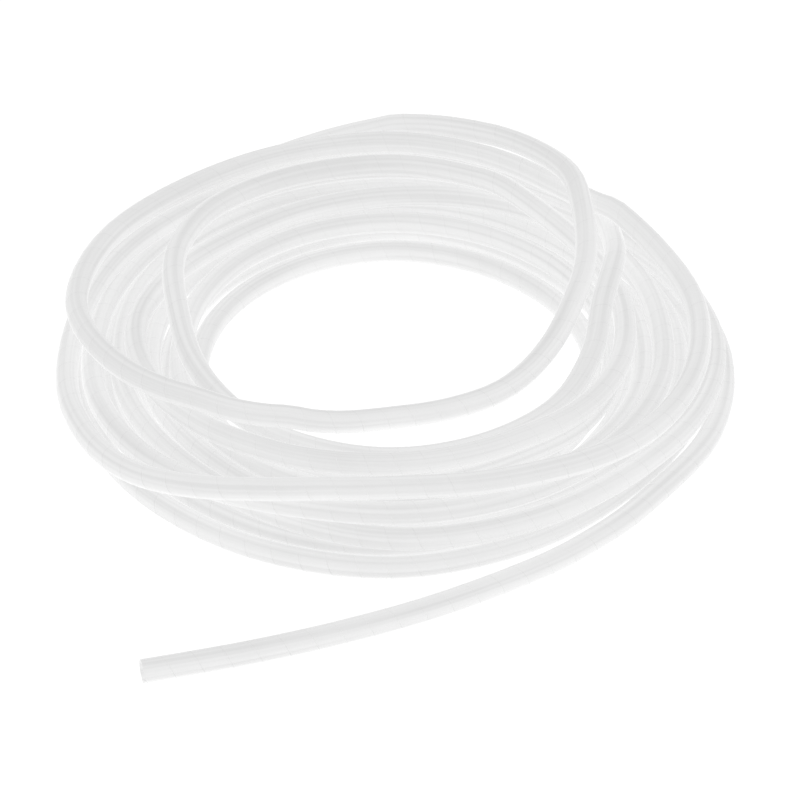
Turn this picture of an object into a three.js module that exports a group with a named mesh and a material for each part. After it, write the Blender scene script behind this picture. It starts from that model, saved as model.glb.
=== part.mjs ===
// Spiral cable wrap: one length of slit polyethylene tube, lying as a loose coil with a free tail.
// Millimetres, +Z up. The coil lies on the plane z = 0, with the origin under the middle of its
// outline. The front of the coil, where the tail runs off, is towards -Y.
//
// The wrap is a single moulded strip. Its slit and its bore are finer than this model, so the tube is
// drawn as a solid bar of the tube's outside diameter, along the whole of its real route.
import * as THREE from 'three';

// Size of the tube
const TUBE_DIAMETER = 10;
const TURN_CLEARANCE = 0.5;
const SECTION_SIDES = 8;

// Size of the coil: the radius of the open middle, measured to the tube's centre
const CORE_RADIUS = 85;

// How far each turn lies outside the core radius, in tube diameters, at 45, 90, 135 ... 360 degrees
// round from the front. Turns are listed in the order in which they were laid, from the tail up.
const TURN_OFFSETS = [
  [6.45, 6.0, 5.5, 6.2, 5.8, 5.4, 6.0, 6.6],
  [5.4, 4.95, 4.3, 5.0, 4.6, 4.2, 5.0, 5.4],
  [3.9, 3.4, 3.0, 3.7, 3.3, 3.0, 3.8, 4.3],
  [2.5, 1.8, 1.4, 2.0, 1.5, 1.5, 2.6, 3.3],
  [1.6, 0.3, 0.0, 0.3, 0.1, 0.2, 1.2, 2.3],
  [2.1, 1.0, 1.0, 1.3, 1.1, 0.9, 2.1, 3.8],
  [3.3, 2.4, 2.4, 2.9, 2.4, 2.3, 3.2, 4.9],
  [4.5, 3.9, 3.6, 4.3, 3.9, 3.6, 4.4, 6.1],
  [5.7, 5.6, 4.8, 5.6, 5.1, 4.8, 5.7, 5.7],
  [4.6, 3.2, 3.0, 2.1, 1.7, 2.9, 2.8, 2.6],
  [2.3, 1.6, 1.7, 3.6, 3.3, 1.0, 0.9, 1.4],
  [1.2, 0.6, 3.9, 5.0, 4.7, 5.6, 7.2, 5.3],
  [5.6, 4.7, 2.7, 4.4, 5.0, 5.5, 2.3, -1.5],
  [-1.9, -0.9, 2.6, 5.4, 6.6],
];

// The free tail, from its cut end to the coil: degrees round from the front, and tube diameters
// outside the core radius
const TAIL_POINTS = [[-25, 15.65], [-16.5, 13.15], [-6.5, 11], [5.5, 9.2], [20, 7.8], [31, 7.1]];

// Fineness of the route
const STATIONS_PER_TURN = 8;
const POINTS_PER_TURN = 16;
const LAYING_STEP = 4;
const SECTION_SPACING = 22;

// Stiffness of the tube: how many times its heights are evened out while it is laid, and over how
// many steps each time
const LAYING_SWEEPS = 70;
const EVENING_STEPS = 8;
const OWN_TURN_REACH = 3 * TUBE_DIAMETER;

const NATURAL_POLYETHYLENE = new THREE.MeshStandardMaterial({
  name: 'natural_polyethylene',
  color: 0xe9e9e6,
  roughness: 0.42,
  metalness: 0,
});

// Value at u = 0 to 1 between b and c, on a smooth curve through a, b, c and d
function smoothBetween(a, b, c, d, u) {
  return b + 0.5 * u * (c - a + u * (2 * a - 5 * b + 4 * c - d + u * (3 * (b - c) + d - a)));
}

// A place in plan, from degrees round from the front and tube diameters outside the core radius
function planPoint(degrees, offset) {
  const radius = CORE_RADIUS + offset * TUBE_DIAMETER;
  const angle = THREE.MathUtils.degToRad(degrees);
  return new THREE.Vector2(radius * Math.sin(angle), -radius * Math.cos(angle));
}

// The coil's turns in plan, spaced evenly round it from the first station to the last
function coilPoints() {
  const offsets = TURN_OFFSETS.flat();
  const finer = POINTS_PER_TURN / STATIONS_PER_TURN;
  const at = (k) => offsets[THREE.MathUtils.clamp(k, 0, offsets.length - 1)];
  const points = [];
  for (let i = 0; i <= (offsets.length - 1) * finer; i += 1) {
    const k = Math.floor(i / finer);
    const offset = smoothBetween(at(k - 1), at(k), at(k + 1), at(k + 2), i / finer - k);
    points.push(planPoint((i / finer + 1) * (360 / STATIONS_PER_TURN), offset));
  }
  return points;
}

// Points at even distances along a line of points
function spaced(points, step) {
  const along = [0];
  for (let i = 1; i < points.length; i += 1) {
    along.push(along[i - 1] + points[i].distanceTo(points[i - 1]));
  }
  const length = along[along.length - 1];
  const count = Math.round(length / step);
  const out = [];
  let k = 0;
  for (let i = 0; i <= count; i += 1) {
    const distance = (length * i) / count;
    while (k < points.length - 2 && along[k + 1] < distance) k += 1;
    const share = (distance - along[k]) / (along[k + 1] - along[k]);
    out.push(points[k].clone().lerp(points[k + 1], share));
  }
  return out;
}

// The whole route in plan, from the cut end of the tail to the end behind the coil
function planRoute() {
  const tail = TAIL_POINTS.map(([degrees, offset]) => planPoint(degrees, offset));
  const chosen = [...tail, ...coilPoints()];
  const finest = new THREE.SplineCurve(chosen).getPoints(chosen.length * POINTS_PER_TURN);
  return spaced(finest, LAYING_STEP);
}

// For each point, what was laid before it within reach, and how far it has to lie above that
function crossings(plan, reach) {
  const ownStretch = Math.ceil(OWN_TURN_REACH / LAYING_STEP);
  return plan.map((point, i) => {
    const below = [];
    for (let j = 0; j < i - ownStretch; j += 1) {
      const gap = point.distanceTo(plan[j]);
      if (gap < reach) below.push({ index: j, lift: Math.sqrt(reach * reach - gap * gap) });
    }
    return below;
  });
}

// Heights evened out over a few steps, with the floor beyond both ends
function evened(heights, floor) {
  let from = heights;
  for (let pass = 0; pass < EVENING_STEPS * 2; pass += 1) {
    const height = (i) => from[i] ?? floor;
    from = from.map((h, i) => (height(i - 1) + 2 * h + height(i + 1)) / 4);
  }
  return from;
}

// Height of the tube's centre at each point: it rests on the floor and on what was laid before it,
// and bridges the hollows between as a stiff tube does
function layHeights(plan, floor) {
  const below = crossings(plan, TUBE_DIAMETER + TURN_CLEARANCE);
  let heights = plan.map(() => floor);
  for (let sweep = 0; sweep < LAYING_SWEEPS; sweep += 1) {
    heights = evened(heights, floor);
    for (let i = 0; i < heights.length; i += 1) {
      for (const { index, lift } of below[i]) {
        heights[i] = Math.max(heights[i], heights[index] + lift);
      }
      heights[i] = Math.max(heights[i], floor);
    }
  }
  return heights;
}

// The tube's centre line as a curve whose section stays upright, with one flat side facing down
class LaidRoute extends THREE.Curve {
  constructor(points) {
    super();
    this.points = points;
    this.arcLengthDivisions = points.length;
  }

  getPoint(t, target = new THREE.Vector3()) {
    const place = t * (this.points.length - 1);
    const k = Math.min(Math.floor(place), this.points.length - 2);
    return target.lerpVectors(this.points[k], this.points[k + 1], place - k);
  }

  computeFrenetFrames(segments) {
    const up = new THREE.Vector3(0, 0, 1);
    const frames = { tangents: [], normals: [], binormals: [] };
    for (let i = 0; i <= segments; i += 1) {
      const tangent = this.getTangentAt(i / segments);
      const normal = new THREE.Vector3().crossVectors(up, tangent).normalize();
      frames.tangents.push(tangent);
      frames.normals.push(normal);
      frames.binormals.push(new THREE.Vector3().crossVectors(tangent, normal));
    }
    return frames;
  }
}

// The tube's section: a regular outline inside the tube's circle, with a flat side at the bottom
function tubeSection() {
  const outline = new THREE.Path();
  const corners = [];
  for (let i = 0; i < SECTION_SIDES; i += 1) {
    const angle = ((i + 0.5) * 2 * Math.PI) / SECTION_SIDES;
    corners.push(new THREE.Vector2(Math.cos(angle), Math.sin(angle)).multiplyScalar(TUBE_DIAMETER / 2));
  }
  outline.setFromPoints(corners);
  return new THREE.Shape(outline.getPoints());
}

function spiralWrap() {
  const flatHeight = (TUBE_DIAMETER / 2) * Math.cos(Math.PI / SECTION_SIDES);
  const plan = planRoute();
  const heights = layHeights(plan, flatHeight);
  const middle = new THREE.Box2().setFromPoints(plan).getCenter(new THREE.Vector2());
  const route = new LaidRoute(
    plan.map((point, i) => new THREE.Vector3(point.x - middle.x, point.y - middle.y, heights[i])),
  );
  const geometry = new THREE.ExtrudeGeometry(tubeSection(), {
    extrudePath: route,
    steps: Math.round(route.getLength() / SECTION_SPACING),
  });
  const mesh = new THREE.Mesh(geometry, NATURAL_POLYETHYLENE);
  mesh.name = 'spiral_wrap';
  return mesh;
}

const part = new THREE.Group();
part.name = 'spiral_cable_wrap';
part.add(spiralWrap());

export default part;
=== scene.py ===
import math

import bpy
import numpy as np
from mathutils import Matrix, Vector


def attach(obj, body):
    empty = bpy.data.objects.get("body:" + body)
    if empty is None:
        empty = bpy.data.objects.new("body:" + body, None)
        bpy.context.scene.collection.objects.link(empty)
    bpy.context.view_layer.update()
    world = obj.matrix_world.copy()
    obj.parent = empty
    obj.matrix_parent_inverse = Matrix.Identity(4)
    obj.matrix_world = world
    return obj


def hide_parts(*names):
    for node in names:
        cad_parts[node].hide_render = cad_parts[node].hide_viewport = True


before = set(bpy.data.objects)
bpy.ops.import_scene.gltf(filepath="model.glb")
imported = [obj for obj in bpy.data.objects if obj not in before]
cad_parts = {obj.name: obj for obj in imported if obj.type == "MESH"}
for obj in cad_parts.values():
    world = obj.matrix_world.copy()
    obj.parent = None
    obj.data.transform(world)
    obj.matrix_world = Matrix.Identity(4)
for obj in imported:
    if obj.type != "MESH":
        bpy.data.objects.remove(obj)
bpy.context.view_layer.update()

bl_info = {
    "name": "Spiral cable wrap",
    "version": (1, 0, 0),
    "blender": (4, 5, 0),
    "location": "3D View > Sidebar > Spiral wrap",
    "description": "A length of slit polyethylene cable wrap, lying as a loose coil with a free tail",
    "category": "Object",
}

# How far each turn lies outside the open middle's radius, in tube diameters, at 45, 90, 135 ... 360
# degrees round from the front. Turns are listed as they were laid, from the tail up.
TURN_OFFSETS = [
    [6.45, 6.0, 5.5, 6.2, 5.8, 5.4, 6.0, 6.6],
    [5.4, 4.95, 4.3, 5.0, 4.6, 4.2, 5.0, 5.4],
    [3.9, 3.4, 3.0, 3.7, 3.3, 3.0, 3.8, 4.3],
    [2.5, 1.8, 1.4, 2.0, 1.5, 1.5, 2.6, 3.3],
    [1.6, 0.3, 0.0, 0.3, 0.1, 0.2, 1.2, 2.3],
    [2.1, 1.0, 1.0, 1.3, 1.1, 0.9, 2.1, 3.8],
    [3.3, 2.4, 2.4, 2.9, 2.4, 2.3, 3.2, 4.9],
    [4.5, 3.9, 3.6, 4.3, 3.9, 3.6, 4.4, 6.1],
    [5.7, 5.6, 4.8, 5.6, 5.1, 4.8, 5.7, 5.7],
    [4.6, 3.2, 3.0, 2.1, 1.7, 2.9, 2.8, 2.6],
    [2.3, 1.6, 1.7, 3.6, 3.3, 1.0, 0.9, 1.4],
    [1.2, 0.6, 3.9, 5.0, 4.7, 5.6, 7.2, 5.3],
    [5.6, 4.7, 2.7, 4.4, 5.0, 5.5, 2.3, -1.5],
    [-1.9, -0.9, 2.6, 5.4, 6.6],
]

# The free tail from its cut end to the coil: degrees round from the front, and tube diameters
# outside the open middle's radius
TAIL_POINTS = [(-25, 15.65), (-16.5, 13.15), (-6.5, 11), (5.5, 9.2), (20, 7.8), (31, 7.1)]

STATIONS_PER_TURN = 8
POINTS_PER_TURN = 16
LAYING_STEP = 0.004
LAYING_SWEEPS = 70
EVENING_STEPS = 8
OWN_TURN_DIAMETERS = 3

# The strip's section as shares: across its width from edge to edge, and from its inside face out
STRIP_SECTION = [(-0.5, 1.0), (0.0, 1.0), (0.5, 1.0), (0.5, 0.0), (-0.5, 0.0)]

# Share of a turn that is left off each end of the strip, where it would run out in a thin thread
END_SLIVER = 0.05

# Edges that bend by more than this stay sharp
SHARP_EDGE = math.radians(32)

# How fast the strip's tilt changes, in waves for each turn, and where its random pattern starts
TILT_WAVES = 0.7
TILT_SEED = 4.0

# Patterns in the plastic, in waves for each metre: the lines drawn along the tube, which are long
# along it and fine round it, the clouds, and the patches in the painted glow
LINE_WAVES = (6.0, 520.0, 520.0)
CLOUD_WAVES = 55.0
GLOW_PATCH_WAVES = 9.0

# How much of the painted streaks in the glow, which stand in for light bent through the plastic,
# comes from the lines and how much from the patches, and the stretch of their sum over which the
# painted glow goes from its dimmest share to full
GLOW_LINE_SHARE = 0.6
GLOW_PATCH_SHARE = 0.4
DIMMEST_GLOW_BELOW = 0.38
FULL_GLOW_ABOVE = 0.58

# Relief of the drawn lines
RELIEF_STRENGTH = 0.25
RELIEF_HEIGHT = 0.0002

# The painted shade along the slit: where it begins and ends, as shares across the strip from its
# middle, and how strongly the clouds bring it out
SHADE_START = 0.48
SHADE_END = 0.5
SHADE_BY_CLOUDS = 1.4

# How far the floor lies below the part, so that the two never share a plane
FLOOR_DROP = 0.0001

# Sockets of a Mix node for its two colours and for the one that comes out
FIRST_COLOUR = 6
SECOND_COLOUR = 7
MIXED_COLOUR = 2


class WrapSizes(bpy.types.PropertyGroup):
    """Sizes of the spiral wrap and of the coil that it lies in"""

    tube_diameter: bpy.props.FloatProperty(
        name="Tube diameter",
        description="Outside diameter of the closed wrap",
        default=0.010,
        unit="LENGTH",
    )
    wall: bpy.props.FloatProperty(
        name="Wall",
        description="Thickness of the plastic strip",
        default=0.001,
        unit="LENGTH",
    )
    pitch: bpy.props.FloatProperty(
        name="Pitch",
        description="Distance along the tube from one turn of the slit to the next",
        default=0.012,
        unit="LENGTH",
    )
    slit: bpy.props.FloatProperty(
        name="Slit",
        description="Width of the slit on the inside of a bend",
        default=0.00003,
        unit="LENGTH",
    )
    slit_opening: bpy.props.FloatProperty(
        name="Slit opening",
        description="How much wider the slit is on the outside of a bend",
        default=0.00015,
        unit="LENGTH",
    )
    unevenness: bpy.props.FloatProperty(
        name="Unevenness",
        description="How far one edge of the strip may stand out from the other",
        default=0.0002,
        unit="LENGTH",
    )
    facets: bpy.props.IntProperty(
        name="Facets",
        description="Steps of the strip in one turn round the tube",
        default=22,
    )
    core_radius: bpy.props.FloatProperty(
        name="Core radius",
        description="Radius of the coil's open middle, to the tube's centre",
        default=0.085,
        unit="LENGTH",
    )
    clearance: bpy.props.FloatProperty(
        name="Clearance",
        description="Room between a turn and those that it lies on",
        default=0.0005,
        unit="LENGTH",
    )


class WrapFinish(bpy.types.PropertyGroup):
    """Colour and gloss of the natural polyethylene, with its painted glow and the painted shade along
    the slit
    """

    clear_colour: bpy.props.FloatVectorProperty(
        name="Clear colour",
        description="Colour where the plastic is clearest",
        default=(0.34, 0.34, 0.34),
        subtype="COLOR",
        size=3,
    )
    milky_colour: bpy.props.FloatVectorProperty(
        name="Milky colour",
        description="Colour where the plastic is milkiest",
        default=(0.44, 0.44, 0.44),
        subtype="COLOR",
        size=3,
    )
    # Painted shade along the slit, darkening the colour and the painted glow there
    painted_slit_shade: bpy.props.FloatVectorProperty(
        name="Edge colour",
        description="Shade of the strip along the slit, as a share of its own colour",
        default=(0.91, 0.91, 0.91),
        subtype="COLOR",
        size=3,
    )
    # Dimmest share of the painted glow, in the painted streaks
    dimmest_glow_share: bpy.props.FloatVectorProperty(
        name="Clear light",
        description="Inner light where the plastic is clearest, as a share of the rest",
        default=(0.86, 0.86, 0.86),
        subtype="COLOR",
        size=3,
    )
    milkiness: bpy.props.FloatProperty(
        name="Milkiness",
        description="Share of the light that each face of the wall stops",
        default=0.94,
        subtype="FACTOR",
    )
    # Painted glow: an even emission over all the plastic, standing in for light scattered through the
    # wall, which lifts its shaded places
    painted_glow: bpy.props.FloatProperty(
        name="Inner light",
        description="Light that has spread through the plastic and comes out again all over it",
        default=0.53,
    )


class StageSettings(bpy.types.PropertyGroup):
    """Camera, floor and light"""

    elevation: bpy.props.FloatProperty(
        name="Elevation",
        description="Height of the camera above the horizon",
        default=math.radians(35),
        subtype="ANGLE",
    )
    distance: bpy.props.FloatProperty(
        name="Distance",
        description="From the camera to the middle of the coil",
        default=1.95,
        unit="LENGTH",
    )
    focal_length: bpy.props.FloatProperty(
        name="Focal length",
        description="Focal length of the lens in millimetres",
        default=197.5,
    )
    aim: bpy.props.FloatVectorProperty(
        name="Aim",
        description="Where the camera is aimed, sideways and back from the middle of the coil",
        default=(0.0022, -0.0232),
        size=2,
        unit="LENGTH",
    )
    floor_size: bpy.props.FloatProperty(
        name="Floor size",
        description="Side of the square floor",
        default=12.0,
        unit="LENGTH",
    )
    sky_strength: bpy.props.FloatProperty(
        name="Sky strength",
        description="Strength of the even white light from all round",
        default=0.64,
    )
    softbox_place: bpy.props.FloatVectorProperty(
        name="Softbox place",
        description="Place of the large soft light above",
        default=(-0.6, 0.5, 1.8),
        size=3,
        unit="LENGTH",
    )
    softbox_size: bpy.props.FloatProperty(
        name="Softbox size",
        description="Side of the large soft light above",
        default=1.4,
        unit="LENGTH",
    )
    softbox_power: bpy.props.FloatProperty(
        name="Softbox power",
        description="Power of the large soft light above, in watts",
        default=0.5,
    )
    floor_light: bpy.props.FloatProperty(
        name="Floor light",
        description="White light from the floor itself, as on a light table",
        default=0.91,
    )


def smooth_between(a, b, c, d, u):
    """Value at u = 0 to 1 between b and c, on a smooth curve through a, b, c and d."""
    return b + 0.5 * u * (c - a + u * (2 * a - 5 * b + 4 * c - d + u * (3 * (b - c) + d - a)))


def plan_point(sizes, degrees, offset):
    """A place in plan, from degrees round from the front and tube diameters outside the middle."""
    radius = sizes.core_radius + offset * sizes.tube_diameter
    angle = math.radians(degrees)
    return radius * math.sin(angle), -radius * math.cos(angle)


def coil_points(sizes):
    """The coil's turns in plan, spaced evenly round it from the first station to the last."""
    offsets = [offset for turn in TURN_OFFSETS for offset in turn]
    finer = POINTS_PER_TURN // STATIONS_PER_TURN

    def at(k):
        return offsets[min(max(k, 0), len(offsets) - 1)]

    points = []
    for i in range((len(offsets) - 1) * finer + 1):
        k, u = i // finer, (i % finer) / finer
        offset = smooth_between(at(k - 1), at(k), at(k + 1), at(k + 2), u)
        points.append(plan_point(sizes, (i / finer + 1) * 360 / STATIONS_PER_TURN, offset))
    return points


def spaced(points, step):
    """Points at even distances along a line of points."""
    along = np.concatenate([[0], np.cumsum(np.linalg.norm(np.diff(points, axis=0), axis=1))])
    places = np.linspace(0, along[-1], round(along[-1] / step) + 1)
    return np.stack([np.interp(places, along, axis) for axis in points.T], axis=1)


def plan_route(sizes):
    """The whole route in plan, from the cut end of the tail to the end behind the coil."""
    tail = [plan_point(sizes, degrees, offset) for degrees, offset in TAIL_POINTS]
    chosen = np.array(tail + coil_points(sizes))
    held = np.vstack([chosen[:1], chosen, chosen[-1:]])
    shares = np.arange(POINTS_PER_TURN)[:, None] / POINTS_PER_TURN
    spans = [smooth_between(*held[i : i + 4], shares) for i in range(len(chosen) - 1)]
    return spaced(np.vstack(spans + [chosen[-1:]]), LAYING_STEP)


def crossings(plan, reach, own_stretch):
    """For each point, what was laid before it within reach, and how far it lies above that."""
    below = []
    for i, point in enumerate(plan):
        gaps = np.linalg.norm(plan[: max(i - own_stretch, 0)] - point, axis=1)
        near = np.nonzero(gaps < reach)[0]
        below.append((near, np.sqrt(reach**2 - gaps[near] ** 2)))
    return below


def evened(heights, floor):
    """Heights evened out over a few steps, with the floor beyond both ends."""
    for _ in range(2 * EVENING_STEPS):
        held = np.concatenate([[floor], heights, [floor]])
        heights = (held[:-2] + 2 * held[1:-1] + held[2:]) / 4
    return heights


def laid_heights(sizes, plan):
    """Height of the tube's centre at each point. The tube rests on the floor and on what was laid
    before it, and bridges the hollows between as a stiff tube does."""
    floor = sizes.tube_diameter / 2
    own_stretch = math.ceil(OWN_TURN_DIAMETERS * sizes.tube_diameter / LAYING_STEP)
    below = crossings(plan, sizes.tube_diameter + sizes.clearance, own_stretch)
    heights = np.full(len(plan), floor)
    for _ in range(LAYING_SWEEPS):
        heights = evened(heights, floor)
        for i, (near, lift) in enumerate(below):
            heights[i] = max(floor, heights[i], *(heights[near] + lift))
    return heights


def laid_route(sizes):
    """The tube's centre line, with the origin under the middle of its outline, and the place of
    the coil's own middle."""
    plan = plan_route(sizes)
    middle = (plan.min(axis=0) + plan.max(axis=0)) / 2
    return np.column_stack([plan - middle, laid_heights(sizes, plan)]), -middle


class Number:
    """A number on its way through a node tree, so that sums of nodes read as sums."""

    def __init__(self, tree, socket):
        self.tree = tree
        self.socket = socket

    def math(self, operation, *others):
        """The result of one Math node with this number first."""
        node = self.tree.nodes.new("ShaderNodeMath")
        node.operation = operation
        for socket, value in zip(node.inputs, (self, *others)):
            feed(self.tree, socket, value)
        return Number(self.tree, node.outputs[0])

    def __add__(self, other):
        return self.math("ADD", other)

    def __sub__(self, other):
        return self.math("SUBTRACT", other)

    def __mul__(self, other):
        return self.math("MULTIPLY", other)

    def __truediv__(self, other):
        return self.math("DIVIDE", other)


def feed(tree, socket, value):
    """Gives an input socket a number, a link or a plain value."""
    if isinstance(value, Number):
        value = value.socket
    if isinstance(value, bpy.types.NodeSocket):
        tree.links.new(value, socket)
    else:
        socket.default_value = value


def add_node(tree, kind, inputs=None, **settings):
    """A new node with its settings made and its inputs fed."""
    node = tree.nodes.new(kind)
    for name, value in settings.items():
        setattr(node, name, value)
    for name, value in (inputs or {}).items():
        feed(tree, node.inputs[name], value)
    return node


def vector_math(tree, operation, *values):
    """The vector result of one Vector Math node."""
    node = add_node(tree, "ShaderNodeVectorMath", operation=operation)
    for name, value in zip(("Vector", "Vector_001", "Scale"), values):
        socket = next(s for s in node.inputs if s.identifier == name)
        feed(tree, socket, value)
    return node.outputs["Vector"]


def scaled(tree, vector, number):
    """A vector times a number."""
    node = add_node(tree, "ShaderNodeVectorMath", {"Scale": number}, operation="SCALE")
    feed(tree, node.inputs[0], vector)
    return node.outputs["Vector"]


def captured(tree, geometry, kind, name, value):
    """Geometry with a value kept at its points, and the value as it is read later."""
    node = add_node(tree, "GeometryNodeCaptureAttribute", {"Geometry": geometry})
    node.capture_items.new(kind, name)
    feed(tree, node.inputs[name], value)
    return node.outputs["Geometry"], node.outputs[name]


def strip_rail(tree, first, last, facets):
    """A straight line with one point for each facet of the strip, and each point's turn number."""
    count = ((last - first) * facets).math("ROUND") + 1
    line = add_node(tree, "GeometryNodeCurvePrimitiveLine", {"End": (0, 0, 1)})
    rail = add_node(
        tree,
        "GeometryNodeResampleCurve",
        {"Curve": line.outputs["Curve"], "Count": count},
        mode="COUNT",
    )
    share = add_node(tree, "GeometryNodeSplineParameter").outputs["Factor"]
    turn = first + (last - first) * Number(tree, share)
    return captured(tree, rail.outputs["Curve"], "FLOAT", "Turn", turn)


def strip_section(tree):
    """The closed outline of the strip's section, and each point's shares across and outwards."""
    ring = add_node(
        tree, "GeometryNodeCurvePrimitiveCircle", {"Resolution": len(STRIP_SECTION)}, mode="RADIUS"
    )
    corners = add_node(tree, "GeometryNodeIndexSwitch", data_type="VECTOR")
    for _ in range(len(STRIP_SECTION) - 2):
        corners.index_switch_items.new()
    for socket, (across, outwards) in zip(corners.inputs[1:], STRIP_SECTION):
        socket.default_value = (across, outwards, 0)
    feed(tree, corners.inputs["Index"], add_node(tree, "GeometryNodeInputIndex").outputs["Index"])
    return captured(tree, ring.outputs["Curve"], "VECTOR", "Corner", corners.outputs["Output"])


def on_route(tree, route, along):
    """Place and upright cross directions of the route at a distance along it."""
    sample = add_node(
        tree, "GeometryNodeSampleCurve", {"Curves": route, "Length": along}, mode="LENGTH"
    )
    up = add_node(tree, "ShaderNodeCombineXYZ", {"Z": 1.0}).outputs["Vector"]
    inwards = vector_math(tree, "CROSS_PRODUCT", up, sample.outputs["Tangent"])
    inwards = vector_math(tree, "NORMALIZE", inwards)
    over = vector_math(tree, "CROSS_PRODUCT", sample.outputs["Tangent"], inwards)
    return sample.outputs["Position"], inwards, over


def spiral_strip_tree():
    """Geometry Nodes that wind a slit strip round a route, as the wall of a spiral-cut tube."""
    tree = bpy.data.node_groups.new("Spiral strip", "GeometryNodeTree")
    sockets = [
        ("Route", "NodeSocketGeometry"),
        ("Tube diameter", "NodeSocketFloat"),
        ("Wall", "NodeSocketFloat"),
        ("Pitch", "NodeSocketFloat"),
        ("Slit", "NodeSocketFloat"),
        ("Slit opening", "NodeSocketFloat"),
        ("Unevenness", "NodeSocketFloat"),
        ("Seed", "NodeSocketFloat"),
        ("Facets", "NodeSocketInt"),
        ("Material", "NodeSocketMaterial"),
    ]
    for name, kind in sockets:
        tree.interface.new_socket(name=name, in_out="INPUT", socket_type=kind)
    tree.interface.new_socket(name="Strip", in_out="OUTPUT", socket_type="NodeSocketGeometry")
    given = tree.nodes.new("NodeGroupInput").outputs
    route = given["Route"]
    pitch, slit = Number(tree, given["Pitch"]), Number(tree, given["Slit"])
    outer = Number(tree, given["Tube diameter"]) / 2
    length = add_node(tree, "GeometryNodeCurveLength", {"Curve": route}).outputs["Length"]
    length = Number(tree, length)

    beyond = (pitch - slit) / pitch / 2 - END_SLIVER
    rail, turn = strip_rail(tree, beyond * -1, length / pitch + beyond, given["Facets"])
    section, corner = strip_section(tree)
    strip = add_node(
        tree,
        "GeometryNodeCurveToMesh",
        {"Curve": rail, "Profile Curve": section, "Fill Caps": True},
    )

    turn = Number(tree, turn)
    corner = add_node(tree, "ShaderNodeSeparateXYZ", {"Vector": corner})
    angle = turn * math.tau
    inward, upward = angle.math("COSINE"), angle.math("SINE")
    gap = slit + Number(tree, given["Slit opening"]) * ((inward - 1) * -0.5)
    start = (turn * pitch - (pitch - gap) / 2).math("MAXIMUM", 0.0)
    end = (turn * pitch + (pitch - gap) / 2).math("MINIMUM", length)
    across = Number(tree, corner.outputs["X"]) + 0.5
    along = start + (end - start) * across

    unevenness = add_node(
        tree,
        "ShaderNodeTexNoise",
        {"W": turn + given["Seed"], "Scale": TILT_WAVES, "Detail": 1.0},
        noise_dimensions="1D",
    )
    tilt = (Number(tree, unevenness.outputs["Fac"]) - 0.5) * given["Unevenness"]
    outwards = Number(tree, corner.outputs["Y"])
    radius = outer - Number(tree, given["Wall"]) * ((outwards - 1) * -1) + tilt * (across - 0.5)

    place, inwards, over = on_route(tree, route, along)
    side = scaled(tree, inwards, inward * radius)
    rise = scaled(tree, over, upward * radius)
    place = vector_math(tree, "ADD", place, vector_math(tree, "ADD", side, rise))
    shaped = add_node(
        tree,
        "GeometryNodeSetPosition",
        {"Geometry": strip.outputs["Mesh"], "Position": place},
    )

    straight = add_node(
        tree,
        "ShaderNodeCombineXYZ",
        {"X": along, "Y": inward * radius, "Z": upward * radius},
    )
    marked = add_node(
        tree,
        "GeometryNodeStoreNamedAttribute",
        {
            "Geometry": shaped.outputs["Geometry"],
            "Name": "straight_place",
            "Value": straight.outputs["Vector"],
        },
        data_type="FLOAT_VECTOR",
        domain="POINT",
    )
    marked = add_node(
        tree,
        "GeometryNodeStoreNamedAttribute",
        {
            "Geometry": marked.outputs["Geometry"],
            "Name": "strip_across",
            "Value": corner.outputs["X"],
        },
        data_type="FLOAT",
        domain="POINT",
    )
    smooth = add_node(
        tree, "GeometryNodeSetShadeSmooth", {"Geometry": marked.outputs["Geometry"]}
    )
    bend = add_node(tree, "GeometryNodeInputMeshEdgeAngle").outputs["Unsigned Angle"]
    edged = add_node(
        tree,
        "GeometryNodeSetShadeSmooth",
        {
            "Geometry": smooth.outputs["Geometry"],
            "Selection": Number(tree, bend).math("GREATER_THAN", SHARP_EDGE),
            "Shade Smooth": False,
        },
        domain="EDGE",
    )
    whole = add_node(
        tree, "GeometryNodeRealizeInstances", {"Geometry": edged.outputs["Geometry"]}
    )
    finished = add_node(
        tree,
        "GeometryNodeSetMaterial",
        {"Geometry": whole.outputs["Geometry"], "Material": given["Material"]},
    )
    add_node(tree, "NodeGroupOutput", {"Strip": finished.outputs["Geometry"]})
    return tree


def noise(tree, place, waves, detail):
    """A soft random pattern between 0 and 1."""
    node = add_node(tree, "ShaderNodeTexNoise", {"Vector": place, "Scale": waves, "Detail": detail})
    return Number(tree, node.outputs["Fac"])


def spread(tree, value, low, high):
    """A number stretched so that it runs from 0 at the low value to 1 at the high one."""
    node = add_node(
        tree, "ShaderNodeMapRange", {"Value": value, "From Min": low, "From Max": high}
    )
    return Number(tree, node.outputs["Result"])


def mixed(tree, share, first, second, blend="MIX"):
    """Two colours mixed."""
    node = add_node(
        tree, "ShaderNodeMix", {"Factor": share}, data_type="RGBA", blend_type=blend
    )
    feed(tree, node.inputs[FIRST_COLOUR], first)
    feed(tree, node.inputs[SECOND_COLOUR], second)
    return node.outputs[MIXED_COLOUR]


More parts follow.
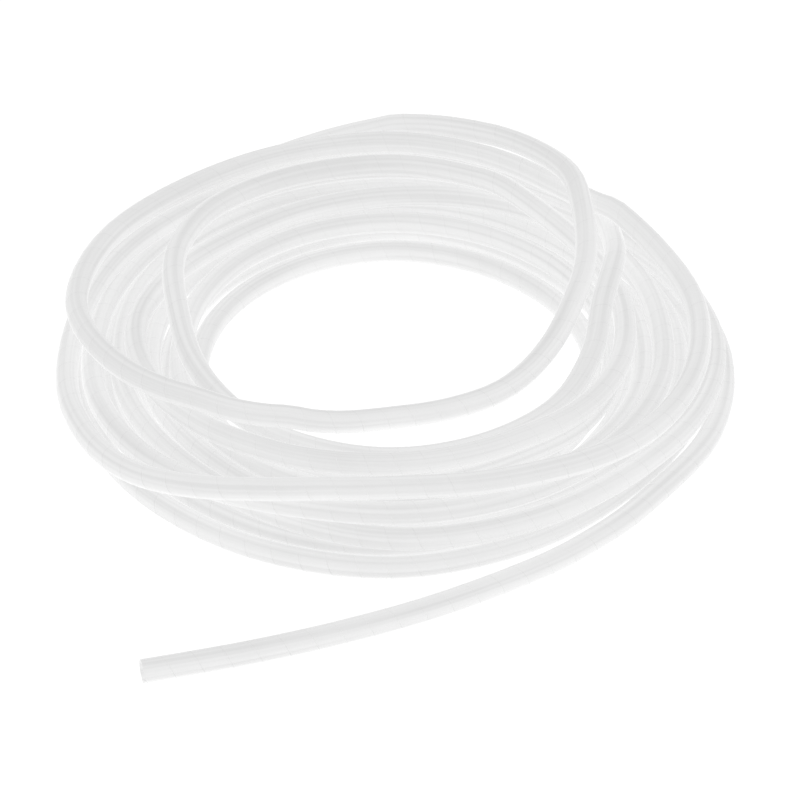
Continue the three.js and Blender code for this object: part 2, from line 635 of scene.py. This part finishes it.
def natural_polyethylene(finish):
    """Milky, faintly see-through polyethylene with the fine drawn lines of a tube in its tone and
    relief, under a painted glow with painted streaks and patches.
    """
    material = bpy.data.materials.new("milky_polyethylene")
    material.use_nodes = True
    tree = material.node_tree
    shader = tree.nodes["Principled BSDF"]
    white = (1, 1, 1, 1)
    place = add_node(tree, "ShaderNodeAttribute", attribute_name="straight_place")
    place = place.outputs["Vector"]
    stretched = add_node(tree, "ShaderNodeMapping", {"Vector": place, "Scale": LINE_WAVES})
    lines = noise(tree, stretched.outputs["Vector"], 1.0, 1.5)
    clouds = noise(tree, place, CLOUD_WAVES, 2.0)
    glow_patches = noise(tree, place, GLOW_PATCH_WAVES, 1.0)

    across = add_node(tree, "ShaderNodeAttribute", attribute_name="strip_across").outputs["Fac"]
    # Painted shade along the slit, in both the colour and the glow
    at_slit = spread(tree, Number(tree, across).math("ABSOLUTE"), SHADE_START, SHADE_END)
    shade = at_slit * clouds * SHADE_BY_CLOUDS
    shade = mixed(tree, shade, white, (*finish.painted_slit_shade, 1))

    milk = lines * 0.5 + clouds * 0.5
    colour = mixed(tree, milk, (*finish.clear_colour, 1), (*finish.milky_colour, 1))
    # Painted streaks and patches in the glow, standing in for light bent through the plastic; the
    # glow's colour runs from its dimmest share to white
    painted_streaks = lines * GLOW_LINE_SHARE + glow_patches * GLOW_PATCH_SHARE
    painted_streaks = spread(tree, painted_streaks, DIMMEST_GLOW_BELOW, FULL_GLOW_ABOVE)
    light = mixed(tree, painted_streaks, (*finish.dimmest_glow_share, 1), white)
    relief = add_node(
        tree,
        "ShaderNodeBump",
        {"Height": lines, "Strength": RELIEF_STRENGTH, "Distance": RELIEF_HEIGHT},
    )

    # Base colour darkened by the painted shade along the slit
    feed(tree, shader.inputs["Base Color"], mixed(tree, 1.0, colour, shade, "MULTIPLY"))
    feed(tree, shader.inputs["Roughness"], clouds * 0.3 + 0.35)
    feed(tree, shader.inputs["Normal"], relief.outputs["Normal"])
    # Emission colour: the painted glow, with its painted streaks and the painted shade along the slit
    feed(tree, shader.inputs["Emission Color"], mixed(tree, 1.0, light, shade, "MULTIPLY"))
    shader.inputs["Alpha"].default_value = finish.milkiness
    shader.inputs["IOR"].default_value = 1.5
    # Strength of the painted glow
    shader.inputs["Emission Strength"].default_value = finish.painted_glow
    return material


def route_curve(route):
    """The route as a curve object, for the strip to be wound round."""
    curve = bpy.data.curves.new("wrap_route", "CURVE")
    curve.dimensions = "3D"
    spline = curve.splines.new("POLY")
    spline.points.add(len(route) - 1)
    spline.points.foreach_set("co", np.column_stack([route, np.ones(len(route))]).ravel())
    carrier = bpy.data.objects.new("wrap_route", curve)
    bpy.context.scene.collection.objects.link(carrier)
    return carrier


def wound_strip(carrier, name, inputs):
    """The strip wound round the carrier's curve, as a plain mesh object."""
    modifier = carrier.modifiers.new("Strip", "NODES")
    modifier.node_group = spiral_strip_tree()
    for item in modifier.node_group.interface.items_tree:
        if item.in_out == "INPUT" and item.name in inputs:
            modifier[item.identifier] = inputs[item.name]
    carrier.update_tag()
    evaluated = carrier.evaluated_get(bpy.context.evaluated_depsgraph_get())
    mesh = bpy.data.meshes.new_from_object(evaluated)
    mesh.name = name
    piece = bpy.data.objects.new(name, mesh)
    bpy.context.scene.collection.objects.link(piece)
    bpy.data.objects.remove(carrier)
    return piece


class SPIRALWRAP_OT_strip(bpy.types.Operator):
    """Wind the slit polyethylene strip along the route of the coil and its tail"""

    bl_idname = "spiral_wrap.strip"
    bl_label = "Spiral wrap"

    def execute(self, context):
        sizes, finish = context.scene.wrap_sizes, context.scene.wrap_finish
        route, _ = laid_route(sizes)
        inputs = {
            "Tube diameter": sizes.tube_diameter,
            "Wall": sizes.wall,
            "Pitch": sizes.pitch,
            "Slit": sizes.slit,
            "Slit opening": sizes.slit_opening,
            "Unevenness": sizes.unevenness,
            "Seed": TILT_SEED,
            "Facets": sizes.facets,
            "Material": natural_polyethylene(finish),
        }
        wrap = wound_strip(route_curve(route), "spiral_wrap_strip", inputs)
        if not wrap.data.polygons:
            raise RuntimeError("the strip has no faces")
        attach(wrap, "root")
        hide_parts("spiral_wrap")
        return {"FINISHED"}


def aimed(thing, target):
    """Turns a camera or a light to look at a point."""
    thing.rotation_euler = (Vector(target) - thing.location).to_track_quat("-Z", "Y").to_euler()


def make_camera(stage, middle):
    """The camera, aimed a little in front of the coil's middle."""
    camera = bpy.data.objects.new("camera", bpy.data.cameras.new("camera"))
    camera.data.lens = stage.focal_length
    camera.data.clip_end = 50
    back = Vector((0, -math.cos(stage.elevation), math.sin(stage.elevation)))
    camera.location = Vector((*middle, 0)) + stage.distance * back
    aimed(camera, (middle[0] + stage.aim[0], middle[1] + stage.aim[1], 0))
    bpy.context.scene.collection.objects.link(camera)
    bpy.context.scene.camera = camera


def make_floor(stage):
    """A plain white floor."""
    half = stage.floor_size / 2
    mesh = bpy.data.meshes.new("floor")
    corners = [(-half, -half), (half, -half), (half, half), (-half, half)]
    mesh.from_pydata([(x, y, -FLOOR_DROP) for x, y in corners], [], [(0, 1, 2, 3)])
    material = bpy.data.materials.new("white_floor")
    material.use_nodes = True
    shader = material.node_tree.nodes["Principled BSDF"]
    shader.inputs["Base Color"].default_value = (0.25, 0.25, 0.25, 1)
    shader.inputs["Roughness"].default_value = 0.9
    shader.inputs["Specular IOR Level"].default_value = 0.1
    shader.inputs["Emission Color"].default_value = (1, 1, 1, 1)
    shader.inputs["Emission Strength"].default_value = stage.floor_light
    mesh.materials.append(material)
    floor = bpy.data.objects.new("floor", mesh)
    bpy.context.scene.collection.objects.link(floor)


def make_softbox(stage):
    """A large square light above, aimed at the coil."""
    light = bpy.data.lights.new("softbox_above", "AREA")
    light.shape = "SQUARE"
    light.size = stage.softbox_size
    light.energy = stage.softbox_power
    box = bpy.data.objects.new("softbox_above", light)
    box.location = stage.softbox_place
    aimed(box, (0, 0, 0))
    bpy.context.scene.collection.objects.link(box)


class SPIRALWRAP_OT_stage(bpy.types.Operator):
    """Make the camera, the white floor and the soft light"""

    bl_idname = "spiral_wrap.stage"
    bl_label = "Stage"

    def execute(self, context):
        stage = context.scene.wrap_stage
        _, middle = laid_route(context.scene.wrap_sizes)
        make_camera(stage, middle)
        make_floor(stage)
        make_softbox(stage)
        world = bpy.data.worlds.new("studio")
        world.use_nodes = True
        sky = world.node_tree.nodes["Background"]
        sky.inputs["Color"].default_value = (1, 1, 1, 1)
        sky.inputs["Strength"].default_value = stage.sky_strength
        context.scene.world = world
        context.scene.view_settings.view_transform = "Standard"
        return {"FINISHED"}


class SPIRALWRAP_PT_sidebar(bpy.types.Panel):
    """Sizes, finish and stage of the spiral wrap"""

    bl_label = "Spiral wrap"
    bl_idname = "SPIRALWRAP_PT_sidebar"
    bl_space_type = "VIEW_3D"
    bl_region_type = "UI"
    bl_category = "Spiral wrap"

    def draw(self, context):
        for title, settings in (
            ("Sizes", context.scene.wrap_sizes),
            ("Finish", context.scene.wrap_finish),
            ("Stage", context.scene.wrap_stage),
        ):
            box = self.layout.box()
            box.label(text=title)
            for name in settings.__annotations__:
                box.prop(settings, name)
        for operator in OPERATORS:
            self.layout.operator(operator.bl_idname)


SETTINGS = {
    "wrap_sizes": WrapSizes,
    "wrap_finish": WrapFinish,
    "wrap_stage": StageSettings,
}
OPERATORS = (SPIRALWRAP_OT_stage, SPIRALWRAP_OT_strip)
CLASSES = (*SETTINGS.values(), *OPERATORS, SPIRALWRAP_PT_sidebar)


def register():
    for cls in CLASSES:
        bpy.utils.register_class(cls)
    for name, cls in SETTINGS.items():
        setattr(bpy.types.Scene, name, bpy.props.PointerProperty(type=cls))


def unregister():
    for name in SETTINGS:
        delattr(bpy.types.Scene, name)
    for cls in reversed(CLASSES):
        bpy.utils.unregister_class(cls)


def main():
    register()
    bpy.ops.spiral_wrap.stage()
    bpy.ops.spiral_wrap.strip()


if __name__ == "__main__":
    main()
